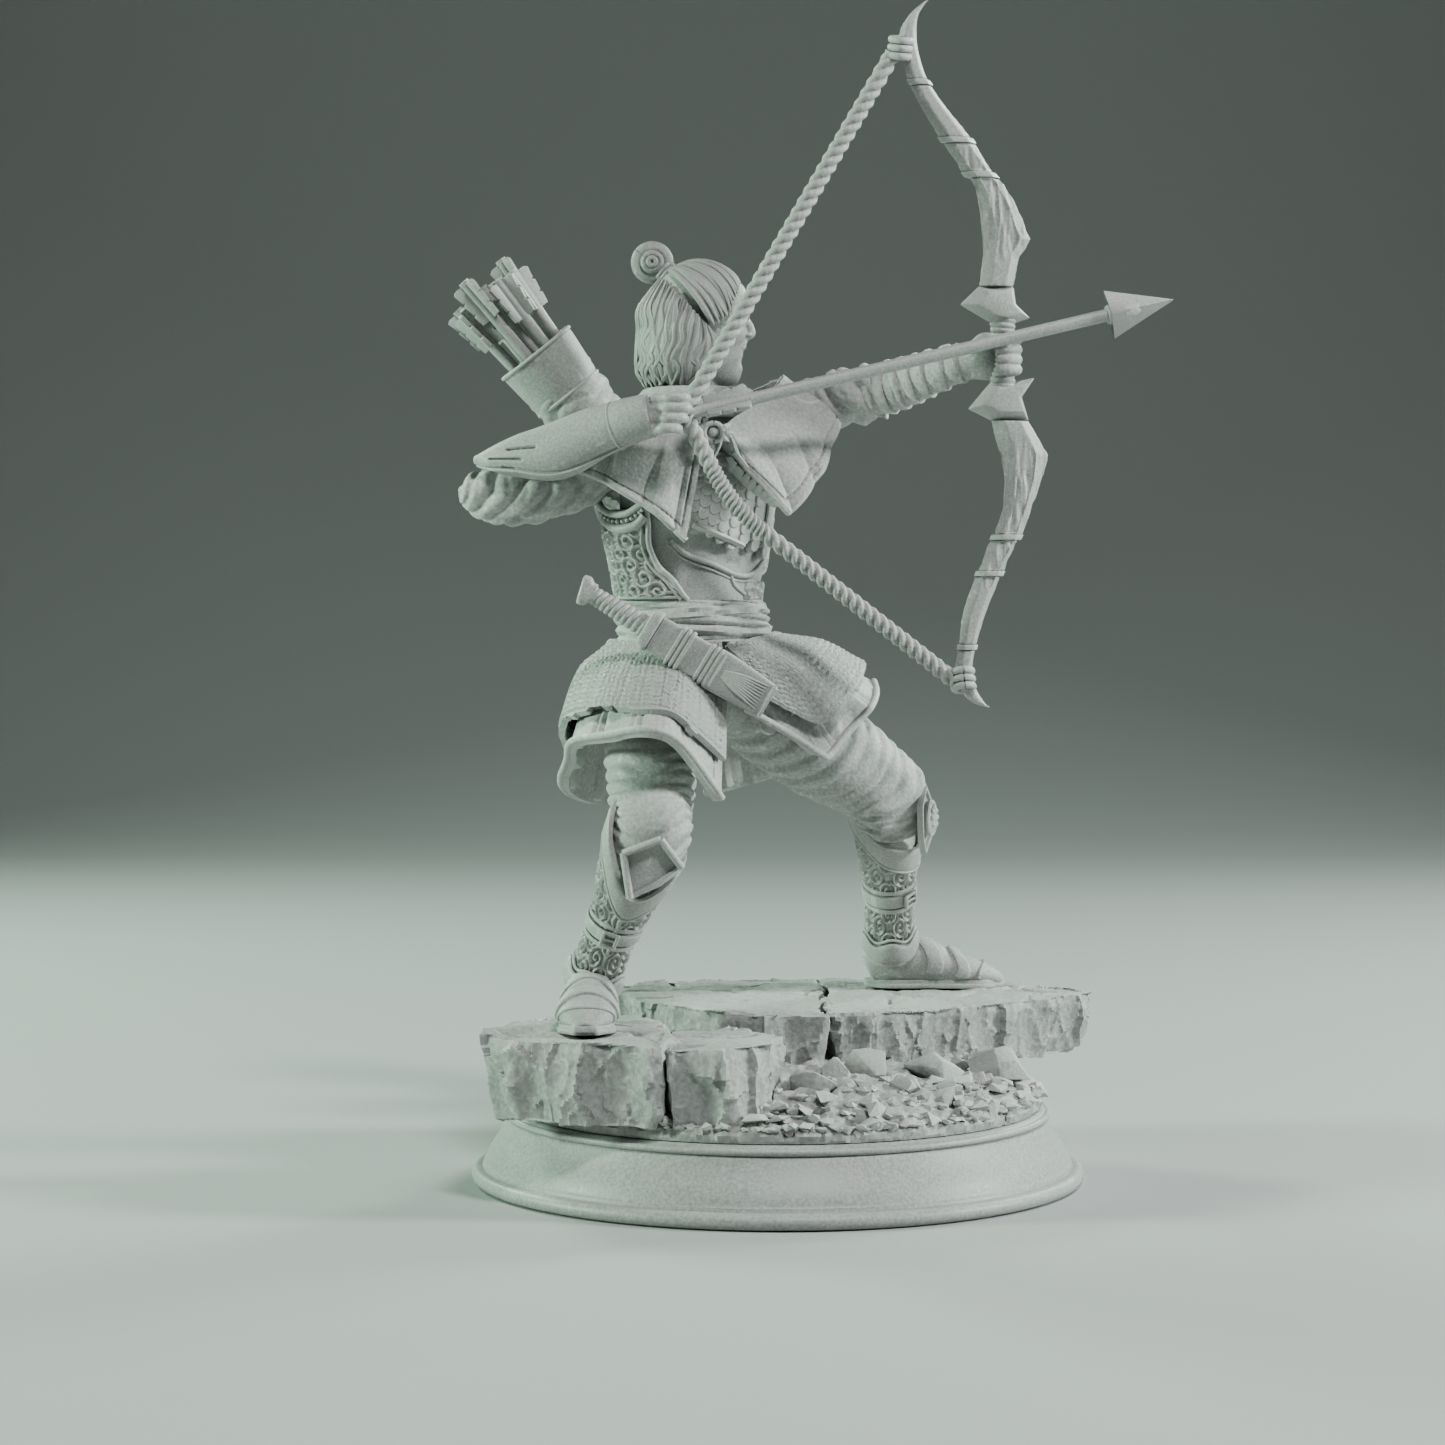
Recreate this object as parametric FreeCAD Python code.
"""Archer miniature, 75 mm scale, on a turned display plinth.

The archer lunges across broken paving and draws a recurve bow.  The kit is five push-fit groups:
the plinth, the scenic base on a spigot, the figure on two foot pegs, and the head, the quiver and
the sheathed dagger, each on a peg of its own.

Millimetres.  +Z up, origin at the centre of the plinth's underside, -Y towards the viewer's side,
+X the way the arrow points.
"""
import FreeCAD, Part
import math
import os

from FreeCAD import Vector as V

os.makedirs("parts", exist_ok=True)

# ---------------------------------------------------------------- driving dimensions
PLINTH_R = 25.0            # foot radius: a 50 mm display plinth
PLINTH_TOP_R = 22.0
PLINTH_H = 6.0
RECESS_R = 16.0            # socket for the scenic base's spigot
RECESS_DEPTH = 2.0
PEG_R = 0.8                # locating pegs
PEG_GAP = 0.08             # radial gap of a push-fit peg in its socket
SEAT_GAP = 0.1             # air under the end of a peg or spigot
FOOT_PEG_LENGTH = 3.0
HEAD_PEG_LENGTH = 2.5
QUIVER_PEG_LENGTH = 8.0
DAGGER_PEG_LENGTH = 7.2
SLAB_TOP = 13.6            # paving surface that the nearer boot stands on
SLAB_STEP = 0.6            # the far slabs lie this much higher
CLOTH = 0.8                # cast thickness of capes and skirts
BOW_TURN = 10.6            # degrees that the bow's plane turns away from +X
BOW_HALF = 0.85            # half thickness of the limbs across that plane
STRING_R = 0.66
SHAFT_R = 0.5
ARROW_HEAD_LENGTH = 5.6
ARROW_HEAD_HALF = 1.9
VANE_THICK = 0.22

# ---------------------------------------------------------------- skeleton
WAIST = V(-6.9, -0.8, 46.0)
CHEST = V(-6.4, -0.2, 56.0)
NECK = V(-6.5, 0.2, 62.6)
HEAD = V(-6.0, 0.0, 69.4)
BUN = V(-10.2, 0.3, 74.7)
RIGHT = {
    "shoulder": V(-12.6, -3.0, 60.0), "elbow": V(-23.0, -3.0, 56.0), "wrist": V(-11.6, -9.4, 61.6),
    "palm": V(-9.3, -10.1, 61.9), "hip": V(-9.8, -2.2, 41.0), "knee": V(-10.2, -13.0, 29.0),
    "ankle": V(-14.8, -7.2, 17.2), "heel": V(-15.0, -5.6, SLAB_TOP), "toe": V(-15.1, -15.6, SLAB_TOP),
}
FAR_TOP = SLAB_TOP + SLAB_STEP
LEFT = {
    "shoulder": V(0.8, 3.0, 62.4), "elbow": V(8.0, 0.6, 64.2), "wrist": V(14.6, -3.6, 66.3),
    "palm": V(17.3, -4.9, 66.6), "hip": V(-4.2, 1.4, 41.0), "knee": V(9.2, 4.0, 31.0),
    "ankle": V(9.8, 11.6, 18.2), "heel": V(8.0, 12.6, FAR_TOP), "toe": V(19.4, 13.2, FAR_TOP),
}
GRIP = V(17.8, -5.0, 66.9)
NOCK = V(-7.3, -9.6, 61.9)
ARROW_TIP = V(31.7, -4.9, 71.3)
QUIVER_MOUTH = V(-20.0, 7.0, 67.8)
QUIVER_FOOT = V(-8.2, 9.0, 53.0)
POMMEL = V(-15.2, -9.8, 48.0)
SCABBARD_MOUTH = V(-9.6, -10.2, 44.6)
SCABBARD_TIP = V(-0.4, -10.6, 39.0)

UP = V(0, 0, 1)
SHOULDER_LINE = V(0.87, 0.5, 0)
BACKWARDS = V(0, 1, 0)


# ---------------------------------------------------------------- shaping helpers
def unit(v):
    return V(v).normalize()


def ring(centre, along, across, half_across, half_deep, points=12):
    """Closed smooth section: an ellipse about centre, square to along."""
    n = unit(along)
    a = unit(across - n * across.dot(n))
    b = n.cross(a)
    turns = [2 * math.pi * i / points for i in range(points)]
    spots = [centre + a * (half_across * math.cos(t)) + b * (half_deep * math.sin(t)) for t in turns]
    curve = Part.BSplineCurve()
    curve.interpolate(Points=spots, PeriodicFlag=True)
    return Part.Wire([curve.toShape()])


def solid(shape):
    """The shape as one outward-facing solid."""
    made = Part.Solid(shape) if shape.ShapeType == "Shell" else shape
    if made.Volume < 0:
        made.reverse()
    return made


def loft(rings, ruled=False):
    return solid(Part.makeLoft(rings, True, ruled))


def limb(stations, across=V(0, 1, 0)):
    """Smooth limb through (centre, half_across, half_deep) stations."""
    centres = [s[0] for s in stations]
    last = len(centres) - 1
    rings = []
    for i, (centre, half_across, half_deep) in enumerate(stations):
        along = centres[min(i + 1, last)] - centres[max(i - 1, 0)]
        rings.append(ring(centre, along, across, half_across, half_deep))
    return loft(rings)


def between(a, b, share):
    return a + (b - a) * share


def ball(centre, rx, ry, rz, turn=0.0, about=UP):
    """Ellipsoid."""
    matrix = FreeCAD.Matrix()
    matrix.scale(V(rx, ry, rz))
    shape = Part.makeSphere(1.0).transformGeometry(matrix)
    shape.rotate(V(), about, turn)
    shape.translate(centre)
    return shape


def rod(start, end, radius):
    return Part.makeCylinder(radius, (end - start).Length, start, end - start)


def polygon(points):
    return Part.makePolygon(list(points) + [points[0]])


def panel(pairs, thickness=CLOTH, core=WAIST):
    """Thick sheet through (top, bottom) pairs that go round the core; its outer face holds the pairs."""
    sections = []
    for top, bottom in pairs:
        middle = between(top, bottom, 0.5)
        out = unit(V(middle.x - core.x, middle.y - core.y, 0.35 * abs(middle.x - core.x)))
        inner_top = top - out * thickness
        inner_bottom = bottom - out * thickness
        sections.append(polygon([top, bottom, inner_bottom, inner_top]))
    return loft(sections, ruled=True)


def slab(outline, low, high, taper, wedge=0.0):
    """Paving stone: an outline at its top, drawn in towards its middle by taper at its underside."""
    middle = V(sum(x for x, _ in outline) / len(outline), sum(y for _, y in outline) / len(outline), 0)
    top = [V(x, y, high) for x, y in outline]
    under = []
    for x, y in outline:
        drop = V(0, 0, low + wedge * (x - middle.x))
        under.append(middle + (V(x, y, 0) - middle) * taper + drop)
    return loft([polygon(under), polygon(top)], ruled=True)


def stone(centre, size, height, seed):
    """Faceted stone: a skewed prism whose corner places follow from its seed."""
    sides = 5 + seed % 3
    rims = []
    for level, share in ((-0.5, 0.72), (0.1, 1.0), (0.5, 0.6)):
        spots = []
        for i in range(sides):
            turn = 2 * math.pi * (i + 0.37 * seed) / sides
            reach = size * share * (0.86 + 0.14 * math.sin(seed * 1.7 + i * 2.3))
            spots.append(centre + V(reach * math.cos(turn), 0.8 * reach * math.sin(turn), level * height))
        rims.append(polygon(spots))
    return loft(rims, ruled=True)


def join(first, *others):
    """One solid out of shapes that overlap."""
    return first.fuse(list(others)).Solids[0]


def trim(shape, *cutters):
    """The shape less its neighbours, with crumbs left out."""
    for cutter in cutters:
        if shape.BoundBox.intersect(cutter.BoundBox):
            shape = shape.cut(cutter)
    pieces = sorted(shape.Solids, key=lambda s: s.Volume, reverse=True)
    kept = [p for p in pieces if p.Volume > 0.08 * pieces[0].Volume]
    return kept[0] if len(kept) == 1 else Part.makeCompound(kept)


NODES = {}


def node(name, *shapes):
    """Keeps the shapes as one named node."""
    solids = [s for shape in shapes for s in shape.Solids]
    for s in solids:
        if not s.isValid() or s.Volume <= 0:
            print("CHECK", name, "valid", s.isValid(), "volume", round(s.Volume, 4))
    NODES[name] = solids[0] if len(solids) == 1 else Part.makeCompound(solids)
    return NODES[name]


# ---------------------------------------------------------------- plinth and scenic base
def plinth():
    """Turned plinth: torus foot, ogee flank, top bead and the socket for the scenic base."""
    def arc(a, b, c):
        return Part.Arc(V(a[0], 0, a[1]), V(b[0], 0, b[1]), V(c[0], 0, c[1])).toShape()

    def line(a, b):
        return Part.LineSegment(V(a[0], 0, a[1]), V(b[0], 0, b[1])).toShape()

    floor = PLINTH_H - RECESS_DEPTH
    foot_top = (PLINTH_R - 0.65, 1.3)
    fillet = (PLINTH_R - 1.0, 1.45)
    flank_top = (PLINTH_TOP_R, PLINTH_H - 0.75)
    bead_top = (PLINTH_TOP_R - 0.1, PLINTH_H - 0.15)
    edges = [
        line((0, 0), (PLINTH_R - 0.6, 0)),
        arc((PLINTH_R - 0.6, 0), (PLINTH_R, 0.62), foot_top),
        line(foot_top, fillet),
        arc(fillet, (PLINTH_TOP_R + 0.85, 3.3), flank_top),
        arc(flank_top, (PLINTH_TOP_R + 0.25, PLINTH_H - 0.45), bead_top),
        line(bead_top, (PLINTH_TOP_R - 0.3, PLINTH_H)),
        line((PLINTH_TOP_R - 0.3, PLINTH_H), (RECESS_R, PLINTH_H)),
        line((RECESS_R, PLINTH_H), (RECESS_R, floor)),
        line((RECESS_R, floor), (0, floor)),
        line((0, floor), (0, 0)),
    ]
    return Part.Face(Part.Wire(edges)).revolve(V(), UP, 360)


def rubble_mound():
    """Low mound that carries the slabs, with the spigot below it."""
    rim = PLINTH_TOP_R - 0.5
    profile = [(0, PLINTH_H), (rim, PLINTH_H), (rim, 7.0), (19.0, 8.2), (13.0, 9.8), (0, 10.6)]
    mound = Part.Face(polygon([V(r, 0, z) for r, z in profile])).revolve(V(), UP, 360)
    spigot_r = RECESS_R - PEG_GAP
    depth = RECESS_DEPTH - SEAT_GAP
    return join(mound, Part.makeCylinder(spigot_r, depth, V(0, 0, PLINTH_H - depth)))


SLABS = {
    "slab_left": ([(-23.0, -11.0), (-20.6, -16.8), (-15.0, -19.6), (-9.0, -21.0), (-8.9, -12.0),
                   (-9.4, -4.6), (-13.0, -0.8), (-18.2, -0.6), (-21.4, -4.8)], 7.0, SLAB_TOP, 0.92, 0.0),
    "slab_front": ([(-8.7, -21.0), (-4.0, -20.6), (-0.5, -17.6), (-0.4, -12.4), (-3.4, -8.8),
                    (-8.6, -9.2)], 7.0, SLAB_TOP - 0.3, 0.94, 0.0),
    "slab_rear": ([(-14.0, 14.2), (-11.6, 4.0), (-7.4, -1.6), (-1.8, -7.0), (3.9, -6.6), (3.4, 2.0),
                   (4.2, 12.0), (3.4, 19.4), (-4.0, 19.4), (-11.0, 17.4)], 8.2, FAR_TOP, 0.93, 0.0),
    "slab_right": ([(4.2, -6.4), (9.6, -5.0), (18.0, 1.2), (27.0, 9.4), (25.6, 13.4), (18.0, 17.8),
                    (9.0, 19.8), (3.7, 19.3), (4.5, 12.0), (3.7, 2.0)], 8.6, FAR_TOP, 0.86, 0.03),
}
BOULDERS = [  # centre, radius, height
    (V(6.6, -9.4, 10.2), 2.9, 4.2), (V(2.2, -13.8, 9.4), 3.0, 4.2), (V(12.2, -7.8, 9.8), 2.7, 3.4),
    (V(17.6, -3.6, 9.2), 2.9, 3.8), (V(12.8, -13.2, 8.2), 1.9, 2.6), (V(-0.4, 20.6, 8.0), 1.7, 2.4),
]
RUBBLE_RINGS = ((18.6, 22, 0.0), (20.6, 27, 0.4))   # ring radius, stones round a full turn, phase


def rubble_stones(blocked):
    """Loose stones on the open slope, each clear of the slabs, the boulders and each other."""
    stones = []
    below = Part.makeCylinder(PLINTH_R, PLINTH_H + SEAT_GAP)
    for radius, count, phase in RUBBLE_RINGS:
        for i in range(count):
            turn = 2 * math.pi * (i + phase) / count
            height = PLINTH_H + 1.9 + 0.35 * math.sin(3.1 * i) - 0.35 * (radius - 18.0)
            spot = V(radius * math.cos(turn), radius * math.sin(turn), height)
            made = trim(stone(spot, 1.15 + 0.2 * math.sin(2.2 * i), 1.7, i + int(radius)), below)
            near = [s for s in blocked + stones if s.BoundBox.intersect(made.BoundBox)]
            if not any(made.common(s).Volume > 1e-6 for s in near):
                stones.append(made)
    return stones


def scenic_base(sockets):
    slabs = {name: slab(*facts) for name, facts in SLABS.items()}
    boulders = []
    for i, (centre, size, height) in enumerate(BOULDERS):
        boulders.append(trim(stone(centre, size, height, i), *slabs.values(), *boulders))
    stones = rubble_stones(list(slabs.values()) + boulders)
    for name, made in slabs.items():
        node(name, trim(made, *sockets))
    node("boulders", *boulders)
    node("rubble_stones", *stones)
    node("rubble_mound", trim(rubble_mound(), *slabs.values(), *boulders, *stones, *sockets))


# ---------------------------------------------------------------- legs
def boot(side, across):
    """Boot with a moulded sole, lofted from heel to toe."""
    heel, toe, ankle = side["heel"], side["toe"], side["ankle"]
    forward = toe - heel
    width = unit(UP.cross(forward))
    stations = [(0.0, 1.5, 1.5), (0.16, 1.9, 2.0), (0.42, 2.1, 1.9), (0.72, 2.35, 1.35), (0.9, 1.9, 0.95),
                (1.0, 0.9, 0.5)]
    rings = [ring(heel + forward * t + UP * tall, forward, width, half, tall) for t, half, tall in stations]
    foot = loft(rings)
    edge = [(0.0, 1.4), (0.4, 1.9), (0.72, 2.4), (0.96, 1.3)]
    outline = edge + [(t, -half) for t, half in reversed(edge)]
    sole = [heel + forward * t + width * half for t, half in outline]
    welt = Part.Face(polygon(sole)).extrude(UP * 0.7)
    top = between(ankle, side["knee"], 0.12)
    shaft = limb([(between(heel, toe, 0.2) + UP * 1.6, 2.0, 2.1), (ankle, 2.1, 2.1), (top, 1.9, 1.9)], across)
    return join(foot, welt, shaft)


# share of the way from hip to knee, or from ankle to knee, and the radius there
RIGHT_THIGH = ((0.0, 4.3), (0.45, 3.9), (0.8, 3.3), (1.06, 2.6))
RIGHT_GREAVE = ((0.1, 2.0), (0.35, 2.3), (0.7, 3.0), (1.0, 3.2))
LEFT_THIGH = ((0.0, 4.4), (0.45, 4.3), (0.8, 3.8), (1.04, 3.0))
LEFT_GREAVE = ((0.1, 1.9), (0.35, 2.1), (0.7, 2.8), (1.0, 3.4))


def foot_peg(side, radius, end_gap):
    """Cylinder down from the sole: the boot's locating peg, or the room for it."""
    top = between(side["heel"], side["toe"], 0.3)
    return rod(top - UP * (FOOT_PEG_LENGTH + end_gap), top + UP * 0.5, radius)


def guard_plate(knee, facing):
    """Five-cornered knee plate, raised towards its middle."""
    out = unit(facing)
    sideways = unit(UP.cross(out))
    seat = knee + out * 2.9 - UP * 0.6
    corners = [(-2.0, 0.9), (0.0, 2.0), (2.0, 0.9), (1.5, -1.9), (0.0, -3.0), (-1.5, -1.9)]
    rim = polygon([seat + sideways * w + UP * h for w, h in corners])
    crown = polygon([seat + sideways * (0.55 * w) + UP * (0.55 * h) + out * 0.9 for w, h in corners])
    return loft([rim, crown], ruled=True)


def leg(side, prefix, across, facing, thigh_shape, greave_shape):
    """Boot, greave and knee guard of one leg; returns the trousered thigh above them."""
    knee, ankle = side["knee"], side["ankle"]
    below_sole = Part.makeBox(40, 40, 10, side["heel"] + V(-20, -20, -10))
    foot = trim(boot(side, across), below_sole)
    greave = limb([(between(ankle, knee, s), half, half) for s, half in greave_shape], across)
    greave = node(prefix + "_greave", trim(greave, foot))
    guard = node(prefix + "_knee_guard", trim(guard_plate(knee, facing), greave))
    node(prefix + "_boot", join(foot, foot_peg(side, PEG_R, 0.0)))
    thigh = limb([(between(side["hip"], knee, s), half, half) for s, half in thigh_shape], across)
    return trim(thigh, greave, guard)


# ---------------------------------------------------------------- torso, skirts and cape
TUNIC_RIGHT = [  # top and hem, from the front slit round the right hip to the back
    (V(-4.6, -5.4, 44.0), V(-4.6, -12.0, 31.6)), (V(-7.5, -6.0, 44.0), V(-8.5, -16.6, 36.8)),
    (V(-10.8, -5.0, 44.0), V(-13.6, -14.4, 36.8)), (V(-13.0, -2.2, 44.0), V(-17.0, -7.4, 35.2)),
    (V(-13.0, 1.2, 44.0), V(-17.0, -0.6, 31.4)), (V(-10.8, 4.2, 44.0), V(-13.4, 6.4, 30.4)),
    (V(-7.6, 5.4, 44.0), V(-7.6, 9.4, 30.8)),
]
TUNIC_LEFT = [  # from the back round the left hip to the front slit
    (V(-7.2, 5.4, 44.0), V(-6.0, 9.4, 30.8)), (V(-3.4, 5.0, 44.0), V(0.0, 10.4, 32.6)),
    (V(-0.9, 2.8, 44.4), V(6.4, 8.6, 36.6)), (V(-0.6, 0.4, 44.6), V(8.4, 3.6, 40.6)),
    (V(-1.4, -2.4, 44.4), V(7.4, -1.2, 38.2)), (V(-3.0, -4.8, 44.0), V(4.0, -3.6, 34.4)),
    (V(-4.3, -5.5, 43.6), V(-2.6, -6.2, 38.6)),
]
MAIL_SHARE = 0.74          # the mail covers this much of the tunic's length
MAIL_LIFT = 1.25           # outer face of the mail above the tunic's
MAIL_THICK = 0.6


def mail_over(pairs, core):
    """Mail panel: the tunic's pairs, shortened and lifted off it."""
    lifted = []
    for top, bottom in pairs:
        middle = between(top, bottom, 0.5)
        out = unit(V(middle.x - core.x, middle.y - core.y, 0.35 * abs(middle.x - core.x))) * MAIL_LIFT
        lifted.append((top + out, between(top, bottom, MAIL_SHARE) + out))
    return panel(lifted, MAIL_THICK, core)


def torso_loft():
    """Chest and waist under the armour: each level's height, half width, half depth and turn."""
    levels = [(44.0, 5.4, 4.0, 6), (47.2, 5.2, 3.7, 11), (51.5, 5.9, 4.0, 19), (56.5, 6.7, 4.4, 30),
              (60.2, 6.2, 3.9, 30), (62.4, 3.8, 3.2, 30)]
    low, high = levels[0][0], levels[-1][0]
    rings = []
    for z, half, deep, turn in levels:
        centre = between(WAIST, NECK, (z - low) / (high - low))
        across = V(math.cos(math.radians(turn)), math.sin(math.radians(turn)), 0)
        rings.append(ring(V(centre.x, centre.y, z), UP, across, half, deep))
    return loft(rings)


def turned_box(size, centre, tilt, turn):
    """Box about its centre, tilted about Y and then turned about Z."""
    shape = Part.makeBox(size.x, size.y, size.z, size * -0.5)
    shape.rotate(V(), V(0, 1, 0), tilt)
    shape.rotate(V(), UP, turn)
    shape.translate(centre)
    return shape


def torso_group(blocked):
    """Cuirass with its trims, the sash and the seat of the trousers."""
    torso = torso_loft()
    waist_line = V(1, 0.1, 0)
    hips = limb([(V(-7.0, -0.2, 37.0), 5.6, 3.4), (V(-7.0, -0.4, 40.5), 6.3, 4.3),
                 (V(-6.9, -0.6, 44.0), 5.5, 4.1)], waist_line)
    sash = loft([ring(V(-6.9, -0.6, z), UP, waist_line, half, deep)
                 for z, half, deep in ((43.9, 6.0, 4.7), (45.6, 6.2, 4.8), (47.3, 5.7, 4.3))])
    scales = turned_box(V(6.6, 2.4, 7.4), CHEST + V(2.1, -3.46, -0.6), 0, 30)
    bar = turned_box(V(4.6, 0.9, 0.8), V(-6.4, -6.0, 52.4), 25, 22)
    side = loft([ring(V(-8.2, -0.6, z), UP, V(1, 0.3, 0), half, deep)
                 for z, half, deep in ((47.4, 4.9, 4.3), (52.0, 5.8, 4.7), (57.6, 6.7, 5.0))])
    right_half = Part.makeBox(8.0, 20, 14, V(-17, -10, 46))
    side = trim(side.common(right_half), torso, *blocked)
    armhole = limb([(V(-13.6, -1.6, 54.6), 2.3, 2.3), (V(-13.2, -1.5, 56.8), 2.4, 2.4)])
    node("side_armour", side)
    node("armhole_trim", trim(armhole, torso, side))
    node("scale_panel", trim(scales, torso, side))
    node("chest_bar", trim(bar, torso, side, scales))
    node("waist_sash", trim(sash, torso))
    return torso, hips


def cape_group(torso):
    """Capelet in three panels with its collar and clasp."""
    neck = NECK
    right = panel([
        (V(-5.6, -4.6, 61.8), V(-7.4, -7.0, 52.0)), (V(-8.4, -4.8, 62.4), V(-9.8, -7.6, 54.2)),
        (V(-10.6, -3.6, 62.4), V(-14.0, -7.2, 56.8)), (V(-11.6, -1.4, 62.6), V(-17.0, -4.6, 58.0)),
    ], CLOTH, neck)
    left = panel([
        (V(-4.4, -4.5, 61.2), V(-3.6, -6.2, 59.0)), (V(-3.4, -4.4, 62.0), V(0.8, -6.6, 54.2)),
        (V(-1.2, -3.2, 63.4), V(3.4, -5.0, 57.6)), (V(0.4, -0.8, 65.2), V(4.8, -2.2, 61.4)),
        (V(0.6, 2.2, 65.8), V(4.6, 3.4, 61.2)),
    ], CLOTH, neck)
    back = panel([
        (V(0.4, 2.8, 65.6), V(3.6, 6.0, 58.0)), (V(-2.6, 4.4, 64.4), V(-2.2, 6.4, 54.0)),
        (V(-7.0, 4.6, 63.0), V(-8.6, 5.6, 52.4)), (V(-10.6, 2.6, 62.6), V(-15.0, 4.2, 55.6)),
        (V(-11.8, -0.8, 62.4), V(-17.4, 0.2, 57.6)),
    ], CLOTH, neck)
    collar_out = loft([ring(neck + UP * z, UP, SHOULDER_LINE, half, deep) for z, half, deep in
                       ((-0.6, 5.0, 4.4), (0.7, 4.6, 4.1), (1.7, 4.0, 3.7))])
    bore = Part.makeCylinder(2.9, 8, neck - UP * 3)
    collar = trim(collar_out, bore, torso)
    clasp = trim(ball(V(-5.2, -5.6, 60.6), 1.0, 0.7, 1.2), torso)
    armour = [NODES[name] for name in ("side_armour", "armhole_trim", "scale_panel", "chest_bar")]
    right = trim(right, torso, collar, clasp, *armour)
    left = trim(left, torso, collar, clasp, *armour)
    node("cape_collar", collar)
    node("cape_clasp", clasp)
    node("cape_right", right)
    node("cape_left", trim(left, right))
    return trim(back, torso, collar, right, left, *armour)


# ---------------------------------------------------------------- arms
def arm_groups(torso, capes):
    """Draw arm (right) and bow arm (left), with sleeves, bracer, wraps and hands."""
    r, l = RIGHT, LEFT
    side = V(0, 0, 1)
    upper = limb([(r["shoulder"], 2.3, 2.3), (between(r["shoulder"], r["elbow"], 0.55), 2.2, 2.1),
                  (r["elbow"] + V(0.6, 0, 0), 2.4, 2.2), (r["elbow"] + V(-1.7, -0.2, 0.2), 1.4, 1.3)], side)
    bracer = limb([(between(r["elbow"], r["wrist"], s), a, b) for s, a, b in
                   ((0.04, 2.6, 1.9), (0.3, 2.7, 2.0), (0.65, 2.0, 1.7), (0.86, 1.65, 1.5))], side)
    band = limb([(between(r["elbow"], r["wrist"], s), 1.75, 1.6) for s in (0.86, 1.06)], side)
    fist = limb([(between(r["wrist"], r["palm"], s), a, b) for s, a, b in
                 ((0.28, 1.3, 1.1), (1.0, 1.7, 1.2), (1.9, 1.6, 1.1))], side)
    fingers = []
    for i in range(4):
        knuckle = r["palm"] + V(1.0, -0.3, 1.2 - 0.82 * i)
        fingers.append(rod(knuckle, knuckle + V(2.0 - 0.12 * i, 0.1, 0.1), 0.42))
    hand = join(fist, *fingers)
    bracer = trim(bracer, upper)
    node("right_sleeve", trim(upper, torso, *capes))
    node("right_bracer", trim(bracer, torso, *capes))
    node("right_wrist_band", trim(band, bracer, *capes))
    sleeve = limb([(l["shoulder"], 2.5, 2.4), (between(l["shoulder"], l["elbow"], 0.5), 2.2, 2.1),
                   (l["elbow"], 2.0, 1.9)], side)
    wrap = limb([(between(l["elbow"], l["wrist"], s), a, b) for s, a, b in
                 ((0.0, 2.0, 1.9), (0.4, 2.0, 1.8), (1.0, 1.6, 1.5))], side)
    node("left_sleeve", trim(sleeve, torso, *capes))
    node("left_forearm_wrap", trim(wrap, sleeve, torso, *capes))
    glove = limb([(l["wrist"], 1.35, 1.3), (between(l["wrist"], l["palm"], 0.5), 1.7, 1.3),
                  (l["palm"] + V(0.3, 0, 0), 1.9, 1.6), (l["palm"] + V(1.6, 0.2, 0.2), 1.7, 1.2)], side)
    return hand, trim(glove, wrap)


# ---------------------------------------------------------------- bow and arrow
UPPER_LIMB = [  # height above the grip, belly edge, back edge
    (5.4, -1.9, 1.0), (7.8, -1.6, 1.5), (9.2, -1.6, 2.5), (12.9, -2.2, 0.6), (14.6, -3.4, -0.8),
    (17.1, -5.2, -2.5),
    (19.8, -6.9, -4.8), (21.7, -7.8, -6.1), (23.3, -8.2, -6.7), (25.1, -8.5, -7.0), (26.8, -7.6, -6.8),
    (28.2, -5.9, -5.8),
]
LOWER_LIMB = [
    (-5.3, -0.9, 2.3), (-6.6, -0.55, 3.1), (-8.0, -0.2, 3.9), (-10.0, 0.2, 3.4), (-12.4, 0.1, 2.5),
    (-14.3, -0.6, 1.8), (-17.2, -1.9, 0.3),
    (-20.4, -3.1, -1.1), (-23.3, -3.5, -2.0), (-25.2, -3.8, -2.3), (-26.6, -3.5, -2.0), (-27.8, -2.4, -1.3),
    (-28.3, -0.8, -0.7),
]
UPPER_GUARD = [(-1.0, 2.5), (0.6, 2.3), (2.4, 2.9), (1.2, 4.0), (1.0, 5.4), (-1.9, 5.4), (-3.5, 3.9)]
LOWER_GUARD = [(-1.0, -2.3), (0.9, -2.2), (2.8, -1.8), (1.7, -3.4), (2.3, -5.3), (-0.9, -5.3), (-2.8, -4.4)]
STRING_TOP = (-8.95, 23.6)     # where the loops close on the limbs, in the bow's plane
STRING_FOOT = (-3.5, -26.3)
STRING_BEND = V(-3.8, -9.2, 54.6)
KNEE = 2                       # the station at the knee of either limb
BAND_SPOTS = ((16.9, 1.0), (14.2, 1.0), (21.4, 0.85), (-14.6, 1.0), (-17.5, 0.95), (-23.4, 0.8))


def in_bow(u, v, w=0.0):
    """A point of the bow's plane: u towards the target, v up, w out of the plane."""
    turn = math.radians(BOW_TURN)
    return GRIP + V(u * math.cos(turn) - w * math.sin(turn), u * math.sin(turn) + w * math.cos(turn), v)


def limb_section(v, belly, back, grow=0.0):
    """Six-sided section of a limb, ridged along its belly and its back."""
    half = BOW_HALF * (1.0 - 0.5 * (abs(v) / 29.0) ** 2) + grow
    width = back - belly + 2 * grow
    half = min(half, max(0.12, width * 0.42))
    start = belly - grow
    spots = [(0.0, 0.0), (0.28, half), (0.72, half), (1.0, 0.0), (0.72, -half), (0.28, -half)]
    return polygon([in_bow(start + width * s, v, w) for s, w in spots])


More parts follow.
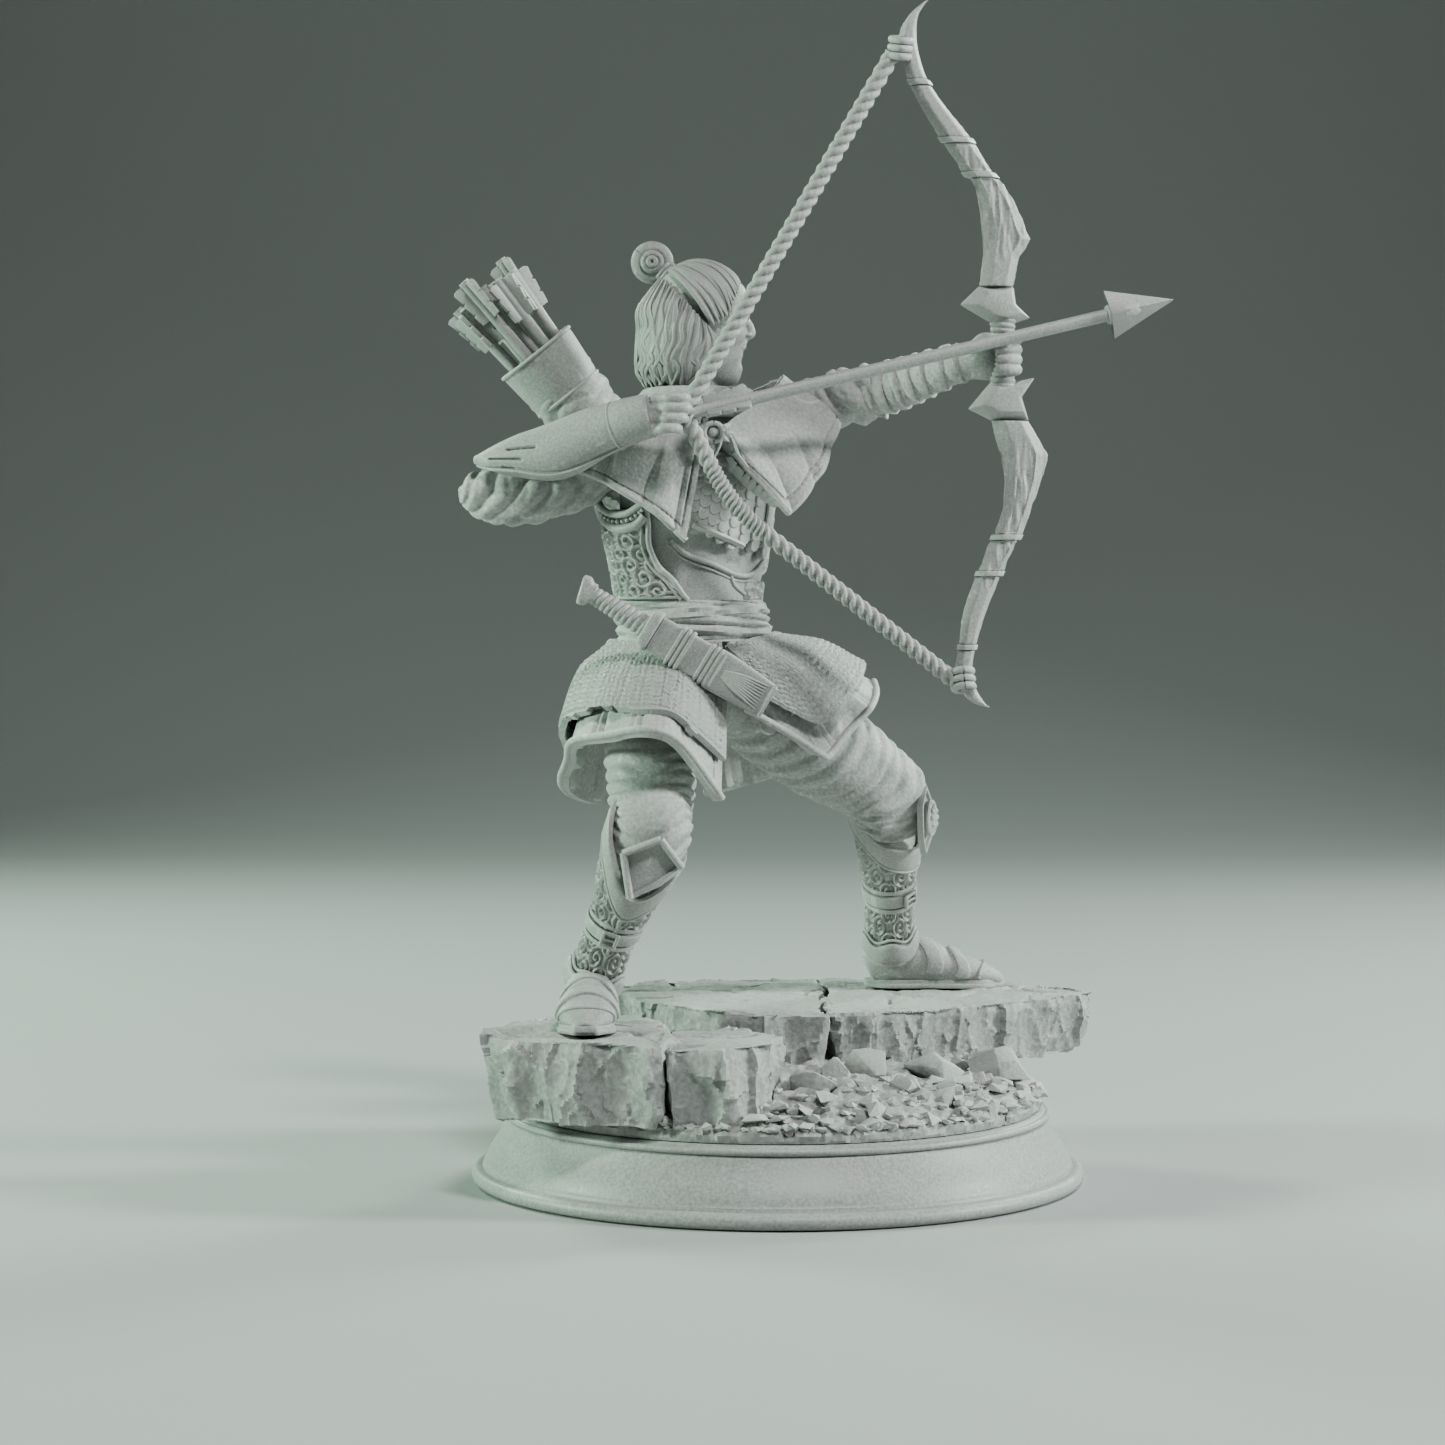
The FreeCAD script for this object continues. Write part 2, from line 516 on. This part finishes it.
def edges_at(stations, v):
    """Belly and back edge at a height between two stations."""
    for (v0, belly0, back0), (v1, belly1, back1) in zip(stations, stations[1:]):
        if min(v0, v1) <= v <= max(v0, v1):
            share = (v - v0) / (v1 - v0)
            return belly0 + (belly1 - belly0) * share, back0 + (back1 - back0) * share
    raise ValueError("height outside the limb")


def refined(stations, steps=4):
    """The stations with smooth in-between ones."""
    last = len(stations) - 1
    dense = []
    for i in range(last):
        a, b, c, d = (V(*stations[min(max(i + k, 0), last)]) for k in (-1, 0, 1, 2))
        for n in range(steps):
            t = n / steps
            square = (a * 2 - b * 5 + c * 4 - d) * t ** 2
            cube = (b * 3 - a - c * 3 + d) * t ** 3
            dense.append(tuple((b * 2 + (c - a) * t + square + cube) * 0.5))
    return dense + [stations[-1]]


def bow_limb(stations):
    """Limb with a sharp knee: straight facets up to it, and a smooth curve from there to the tip."""
    return loft([limb_section(*s) for s in stations[:KNEE] + refined(stations[KNEE:])], ruled=True)


def bow_band(v, grow):
    """Raised collar round a limb."""
    stations = UPPER_LIMB if v > 0 else LOWER_LIMB
    rims = []
    for height in (v - 0.22, v + 0.22):
        belly, back = edges_at(stations, height)
        rims.append(limb_section(height, belly, back, 0.16 * grow))
    return loft(rims, ruled=True)


def guard_block(outline):
    """Winged block at the root of a limb, thinner towards its points."""
    middle_u = sum(u for u, _ in outline) / len(outline)
    middle_v = sum(v for _, v in outline) / len(outline)
    layers = []
    for w, share in ((-1.15, 0.62), (0.0, 1.0), (1.15, 0.62)):
        layers.append(polygon([in_bow(middle_u + (u - middle_u) * share, middle_v + (v - middle_v) * share, w)
                               for u, v in outline]))
    return loft(layers, ruled=True)


def bent_cord(start, corner, end):
    """Cord of two straight runs joined by one large tangent arc."""
    first = unit(start - corner)
    second = unit(end - corner)
    half_turn = (math.pi - first.getAngle(second)) / 2
    reach = 0.45 * (start - corner).Length
    radius = reach / math.tan(half_turn)
    into = unit(first + second)
    middle = corner + into * (radius / math.cos(half_turn) - radius)
    leave, join_at = corner + first * reach, corner + second * reach
    path = Part.Wire([Part.LineSegment(start, leave).toShape(), Part.Arc(leave, middle, join_at).toShape(),
                      Part.LineSegment(join_at, end).toShape()])
    profile = Part.Wire([Part.makeCircle(STRING_R, start, corner - start)])
    print("string bend radius", round(radius, 1), "mm")
    return solid(path.makePipeShell([profile], True, False))


def vane(root, axis, out, outline):
    """Feather: an outline of distances along the shaft and out from it."""
    face = Part.Face(polygon([root + axis * along + out * away for along, away in outline]))
    return face.extrude(unit(out.cross(axis)) * VANE_THICK)


def bow_group(hands):
    right_hand, left_hand = hands
    upper = bow_limb(UPPER_LIMB)
    lower = bow_limb(LOWER_LIMB)
    riser = loft([ring(in_bow(0.1, v), UP, V(1, 0.19, 0), half, 0.8) for v, half in
                  ((-3.2, 1.0), (-1.2, 0.85), (1.2, 0.85), (3.2, 1.0))])
    guards = [trim(guard_block(UPPER_GUARD), upper), trim(guard_block(LOWER_GUARD), lower)]
    bands = [bow_band(v, grow) for v, grow in BAND_SPOTS]
    upper = trim(upper, *bands)
    lower = trim(lower, *bands)
    axis = unit(ARROW_TIP - NOCK)
    head_base = ARROW_TIP - axis * ARROW_HEAD_LENGTH
    shaft = rod(NOCK + axis * 0.2, head_base + axis * 0.4, SHAFT_R)
    across = unit(axis.cross(UP))
    lift = unit(across.cross(axis))
    half = ARROW_HEAD_HALF
    compass = [(1, 0), (0, 1), (-1, 0), (0, -1)]
    square = [head_base + across * (half * a) + lift * (half * b) for a, b in compass]
    socket = [p + (head_base - p) * 0.62 - axis * 1.6 for p in square]
    tip = [ARROW_TIP + (p - head_base) * 0.02 for p in square]
    arrow_head = loft([polygon(socket), polygon(square), polygon(tip)], ruled=True)
    shaft = trim(shaft, arrow_head)
    vanes = []
    for turn in (90, 210, 330):
        out = across * math.cos(math.radians(turn)) + lift * math.sin(math.radians(turn))
        outline = [(0.0, 0.4), (3.4, 0.4), (3.0, 1.1), (-0.5, 1.3)]
        vanes.append(trim(vane(NOCK + axis * 1.6, axis, out, outline), shaft))
    loop_top = in_bow(*STRING_TOP)
    loop_low = in_bow(*STRING_FOOT)
    upper_string = trim(rod(NOCK + UP * 0.62, loop_top, STRING_R), upper, bands[2], shaft)
    lower_string = bent_cord(NOCK - UP * 0.3, STRING_BEND, loop_low)
    lower_string = trim(lower_string, lower, bands[5], shaft, upper_string)
    riser = trim(riser, *guards)
    strings = (upper_string, lower_string)
    node("bow_upper_limb", upper)
    node("bow_lower_limb", lower)
    node("bow_riser", riser)
    node("bow_guards", *guards)
    node("bow_bands", *bands)
    node("bowstring_upper", upper_string)
    node("bowstring_lower", lower_string)
    node("arrow_shaft", shaft)
    node("arrow_head", arrow_head)
    hand = trim(right_hand, *strings, shaft, NODES["right_wrist_band"], NODES["right_bracer"])
    node("right_hand", hand)
    node("arrow_fletching", *[trim(v, hand, *strings) for v in vanes])
    node("left_hand", trim(left_hand, riser, *guards, shaft, lower_string))


# ---------------------------------------------------------------- head, quiver and dagger
def head_group():
    """Head with its hair, bun and tie, on a neck peg."""
    skull = ball(HEAD + V(0.3, 0, 0.6), 4.1, 3.2, 4.6)
    seat = HEAD + V(-0.6, 0, -7.0)
    neck = Part.makeCylinder(2.1, 6.0, seat)
    peg = rod(seat - UP * HEAD_PEG_LENGTH, seat + UP * 0.5, PEG_R)
    head = join(skull, neck, peg)
    crown = ball(HEAD + V(-0.5, 0, 0.9), 4.5, 3.75, 4.9)
    fall = limb([(HEAD + V(-2.2, 0, 1.0), 3.5, 2.6), (HEAD + V(-2.9, 0, -2.2), 3.6, 2.4),
                 (HEAD + V(-2.9, 0, -4.8), 3.2, 2.0)])
    face_cut = Part.makeBox(6, 12, 7.5, HEAD + V(1.5, -6, -5.2))
    hair = trim(join(crown, fall), face_cut, head)
    bun = trim(ball(BUN, 1.7, 1.5, 1.6), hair, head)
    tie = trim(limb([(BUN + V(1.0, 0, -0.9), 1.0, 1.0), (BUN + V(1.7, 0, -1.3), 1.15, 1.15)]), head)
    node("head", head)
    node("hair", trim(hair, tie))
    node("hair_bun", trim(bun, tie))
    node("hair_tie", tie)
    return rod(seat - UP * (HEAD_PEG_LENGTH + SEAT_GAP), seat + UP * 0.5, PEG_R + PEG_GAP)


def quiver_group():
    """Tapered quiver with a rolled collar and six arrows, on a peg into the archer's back."""
    axis = unit(QUIVER_MOUTH - QUIVER_FOOT)
    side = BACKWARDS
    tube = limb([(between(QUIVER_FOOT, QUIVER_MOUTH, s), a, b) for s, a, b in
                 ((0.0, 1.9, 1.9), (0.1, 2.4, 2.4), (0.6, 2.9, 2.8), (0.8, 3.1, 2.9))], side)
    collar = limb([(between(QUIVER_FOOT, QUIVER_MOUTH, s), a, b)
                   for s, a, b in ((0.78, 3.3, 3.1), (1.0, 3.6, 3.4))], side)
    well = limb([(between(QUIVER_FOOT, QUIVER_MOUTH, s), 2.9, 2.7) for s in (0.84, 1.05)], side)
    collar = trim(collar, well)
    lean = unit(axis.cross(side))
    well_floor = between(QUIVER_FOOT, QUIVER_MOUTH, 0.84)
    shafts = []
    feathers = []
    for i in range(6):
        turn = 2 * math.pi * i / 6 + 0.4
        reach = 1.75 if i else 0.0
        spread = side * math.sin(turn) + lean * math.cos(turn)
        grown = unit(axis + side * (0.05 * math.sin(turn)) + lean * (0.10 * math.cos(turn)))
        foot = well_floor + spread * reach
        end = foot + grown * (10.0 + 1.2 * math.sin(2.1 * i))
        shafts.append(rod(foot, end, SHAFT_R))
        for k in range(3):
            angle = math.radians(120 * k + 40 * i)
            out = side * math.sin(angle) + lean * math.cos(angle)
            outline = [(-0.4, 0.45), (0.1, 1.3), (-3.0, 1.3), (-3.6, 0.45)]
            feathers.append(vane(end, axis, out, outline))
    tube = trim(tube, collar, well)
    made = []
    for feather in feathers:
        clear = trim(feather, *shafts)
        if not any(clear.common(f).Volume > 1e-6 for f in made if f.BoundBox.intersect(clear.BoundBox)):
            made.append(clear)
    peg_at = between(QUIVER_FOOT, QUIVER_MOUTH, 0.2)
    peg = rod(peg_at - BACKWARDS * QUIVER_PEG_LENGTH, peg_at, PEG_R)
    tube = trim(tube, *shafts)
    node("quiver_tube", join(tube, peg))
    node("quiver_collar", trim(collar, tube, *shafts))
    node("quiver_arrows", *shafts)
    node("quiver_feathers", *made)
    return rod(peg_at - BACKWARDS * (QUIVER_PEG_LENGTH + SEAT_GAP), peg_at, PEG_R + PEG_GAP)


def dagger_group():
    """Sheathed dagger: box scabbard with bands, wrapped grip and flared pommel, on a hip peg."""
    blade = unit(SCABBARD_TIP - SCABBARD_MOUTH)
    high = unit(V(blade.z, 0, -blade.x)) * -1
    deep = V(0, 1, 0)

    def box_section(at, tall, thick):
        spots = [(-1, -0.55), (-0.45, -1), (0.7, -1), (1, -0.6), (1, 1), (-1, 1)]
        return polygon([at + high * (tall * a) + deep * (thick * b) for a, b in spots])

    def run(*sections):
        return loft([box_section(at, tall, thick) for at, tall, thick in sections], ruled=True)

    chape = between(SCABBARD_MOUTH, SCABBARD_TIP, 0.86)
    scabbard = run((SCABBARD_MOUTH, 1.35, 1.0), (chape, 1.15, 0.95), (SCABBARD_TIP, 0.75, 0.6))
    bands = []
    for s in (2.0, 4.6):
        start = SCABBARD_MOUTH + blade * s
        bands.append(run((start, 1.5, 1.12), (start + blade * 0.7, 1.5, 1.12)))
    hilt_start = SCABBARD_MOUTH - blade * 1.0
    hilt_end = POMMEL + blade * 0.6
    grip_middle = between(hilt_start, hilt_end, 0.5)
    grip = limb([(hilt_start, 0.75, 0.7), (grip_middle, 0.65, 0.6), (hilt_end, 0.6, 0.6)], deep)
    guard = run((hilt_start, 1.15, 1.0), (SCABBARD_MOUTH - blade * 0.05, 1.4, 1.05))
    pommel = run((hilt_end, 0.8, 0.7), (POMMEL - blade * 0.4, 1.05, 0.8))
    peg_at = between(SCABBARD_MOUTH, SCABBARD_TIP, 0.3)
    peg = rod(peg_at, peg_at + BACKWARDS * DAGGER_PEG_LENGTH, PEG_R)
    scabbard = trim(join(scabbard, peg), *bands)
    node("scabbard", scabbard)
    node("scabbard_bands", *[trim(b, scabbard) for b in bands])
    node("dagger_grip", trim(grip, guard, pommel))
    node("dagger_guard", guard)
    node("dagger_pommel", pommel)
    room = run((SCABBARD_MOUTH - blade * 1.2, 1.7, 1.35), (SCABBARD_TIP + blade * 0.2, 1.5, 1.3))
    return room, rod(peg_at, peg_at + BACKWARDS * (DAGGER_PEG_LENGTH + SEAT_GAP), PEG_R + PEG_GAP)


# ---------------------------------------------------------------- assembly
def build():
    right_thigh = leg(RIGHT, "right", V(1, 0, 0), V(0.12, -1, 0), RIGHT_THIGH, RIGHT_GREAVE)
    left_thigh = leg(LEFT, "left", V(0, 1, 0), V(1, -0.25, 0), LEFT_THIGH, LEFT_GREAVE)
    foot_sockets = [foot_peg(side, PEG_R + PEG_GAP, SEAT_GAP) for side in (RIGHT, LEFT)]
    node("plinth", plinth())
    scenic_base(foot_sockets)
    head_socket = head_group()
    quiver_socket = quiver_group()
    dagger_room, dagger_socket = dagger_group()
    quiver_room = limb([(QUIVER_FOOT, 2.9, 2.8), (QUIVER_MOUTH, 3.9, 3.7)], BACKWARDS)
    torso, hips = torso_group([quiver_room, quiver_socket])
    back = node("cape_back", trim(cape_group(torso), quiver_room, quiver_socket))
    capes = [NODES["cape_right"], NODES["cape_left"], back, NODES["cape_collar"]]
    bow_group(arm_groups(torso, capes))
    sash = NODES["waist_sash"]
    seat = trim(hips, torso, sash)
    right_thigh = trim(right_thigh, seat, torso, sash)
    left_thigh = trim(left_thigh, seat, torso, sash, right_thigh)
    trousers = [seat, right_thigh, left_thigh]
    node("trousers", *[trim(piece, dagger_socket) for piece in trousers])
    panels = {"tunic_skirt_right": panel(TUNIC_RIGHT), "tunic_skirt_left": panel(TUNIC_LEFT),
              "mail_skirt_right": mail_over(TUNIC_RIGHT, WAIST),
              "mail_skirt_left": mail_over(TUNIC_LEFT, WAIST)}
    skirts = []
    for name, shape in panels.items():
        clear = trim(shape, torso, sash, *trousers, *skirts)
        skirts.append(clear)
        node(name, trim(clear, dagger_room, dagger_socket))
    node("waist_sash", trim(sash, dagger_room, dagger_socket))
    node("cuirass", trim(torso, head_socket, quiver_socket))
    for name, shape in NODES.items():
        shape.exportStep(f"parts/{name}.step")
    print(len(NODES), "nodes")


build()
